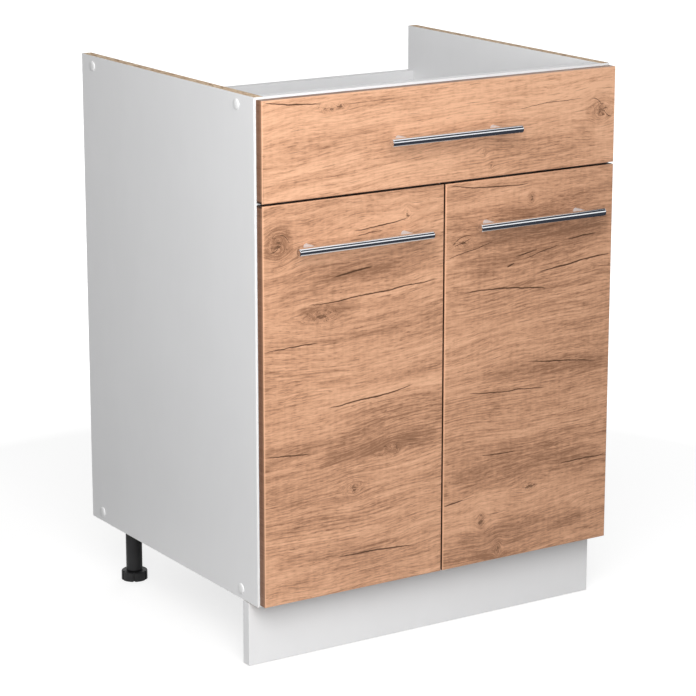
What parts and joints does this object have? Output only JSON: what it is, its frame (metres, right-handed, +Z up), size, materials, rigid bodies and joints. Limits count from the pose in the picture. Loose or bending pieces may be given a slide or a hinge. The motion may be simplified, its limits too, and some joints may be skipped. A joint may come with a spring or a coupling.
{
  "type": "kitchen sink base cabinet",
  "caption": "Open-topped kitchen base cabinet in white board with wood-look fronts, hinged doors, bar handles, a clip-on plinth and adjustable legs.",
  "frame": {"origin": "on the floor, under the middle of the whole cabinet with its handles", "axes": "+Z up, +X to the right seen from the front, doors face -Y"},
  "size_m": [0.6044, 0.553, 0.816],
  "materials": {
    "white_board": "white laminated chipboard, fine satin, raw brown chipboard on the top edges of the sides",
    "edge_band": "smooth white edge strip",
    "oak_front": "golden oak look foil with horizontal grain, knots and dark cracks, satin",
    "bright_chrome": "polished chrome",
    "white_cap": "white moulded plastic",
    "beech_dowel": "plain beech",
    "clear_bumper": "clear soft plastic",
    "black_plastic": "black moulded plastic, slightly satin",
    "hinge_nickel": "nickel-plated pressed steel",
    "screw_zinc": "bright zinc-plated steel"
  },
  "bodies": {
    "carcass": {"bottom_edge_band": "edge_band", "bottom_panel": "white_board", "cam_bolts": "screw_zinc", "cam_locks": "screw_zinc", "drawer_front": "oak_front", "drawer_handle_bar": "bright_chrome", "drawer_handle_posts": "bright_chrome", "drawer_handle_screws": "screw_zinc", "frame_screws": "screw_zinc", "front_rail": "white_board", "front_screws": "screw_zinc", "front_spacers": "black_plastic", "left_arm_pins": "hinge_nickel", "left_arm_screws": "screw_zinc", "left_edge_band": "edge_band", "left_hinge_arms": "hinge_nickel", "left_mounting_plates": "hinge_nickel", "left_plate_screws": "screw_zinc", "left_side_panel": "white_board", "leg_socket_screws": "screw_zinc", "leg_sockets": "black_plastic", "leg_tubes": "black_plastic", "rail_dowels": "beech_dowel", "rear_rail": "white_board", "right_arm_pins": "hinge_nickel", "right_arm_screws": "screw_zinc", "right_edge_band": "edge_band", "right_hinge_arms": "hinge_nickel", "right_mounting_plates": "hinge_nickel", "right_plate_screws": "screw_zinc", "right_side_panel": "white_board", "screw_caps": "white_cap"},
    "left_links": {"left_hinge_links": "hinge_nickel"},
    "left_door": {"left_door": "oak_front", "left_door_bumpers": "clear_bumper", "left_door_handle_bar": "bright_chrome", "left_door_handle_posts": "bright_chrome", "left_door_handle_screws": "screw_zinc", "left_hinge_cups": "hinge_nickel", "left_cup_pins": "hinge_nickel", "left_cup_screws": "screw_zinc"},
    "right_links": {"right_hinge_links": "hinge_nickel"},
    "right_door": {"right_door": "oak_front", "right_door_bumpers": "clear_bumper", "right_door_handle_bar": "bright_chrome", "right_door_handle_posts": "bright_chrome", "right_door_handle_screws": "screw_zinc", "right_hinge_cups": "hinge_nickel", "right_cup_pins": "hinge_nickel", "right_cup_screws": "screw_zinc"},
    "plinth": {"plinth": "white_board", "plinth_clips": "black_plastic", "plinth_clip_screws": "screw_zinc"},
    "front_left_foot": {"front_left_foot": "black_plastic"},
    "front_right_foot": {"front_right_foot": "black_plastic"},
    "rear_left_foot": {"rear_left_foot": "black_plastic"},
    "rear_right_foot": {"rear_right_foot": "black_plastic"}
  },
  "joints": [
    {"name": "left_link_swing", "type": "hinge", "parent": "carcass", "child": "left_links", "pos_m": [-0.2615, -0.2189, 0.385], "axis": [0, 0, 1], "range_deg": [0, 33.4]},
    {"name": "left_door_swing", "type": "hinge", "parent": "left_links", "child": "left_door", "pos_m": [-0.2858, -0.2288, 0.385], "axis": [0, 0, -1], "range_deg": [0, 133.33]},
    {"name": "right_link_swing", "type": "hinge", "parent": "carcass", "child": "right_links", "pos_m": [0.2615, -0.2189, 0.385], "axis": [0, 0, -1], "range_deg": [0, 33.4]},
    {"name": "right_door_swing", "type": "hinge", "parent": "right_links", "child": "right_door", "pos_m": [0.2858, -0.2288, 0.385], "axis": [0, 0, 1], "range_deg": [0, 133.33]},
    {"name": "plinth_unclip", "type": "slide", "parent": "carcass", "child": "plinth", "axis": [0, -1, 0], "range_m": [0, 0.1]},
    {"name": "front_left_foot_adjust", "type": "slide", "parent": "carcass", "child": "front_left_foot", "axis": [0, 0, -1], "range_m": [0, 0.02]},
    {"name": "front_right_foot_adjust", "type": "slide", "parent": "carcass", "child": "front_right_foot", "axis": [0, 0, -1], "range_m": [0, 0.02]},
    {"name": "rear_left_foot_adjust", "type": "slide", "parent": "carcass", "child": "rear_left_foot", "axis": [0, 0, -1], "range_m": [0, 0.02]},
    {"name": "rear_right_foot_adjust", "type": "slide", "parent": "carcass", "child": "rear_right_foot", "axis": [0, 0, -1], "range_m": [0, 0.02]}
  ],
  "couplings": [
    {"joint": "left_link_swing", "follows": "left_door_swing", "ratio": 0.25},
    {"joint": "right_link_swing", "follows": "right_door_swing", "ratio": 0.25}
  ]
}
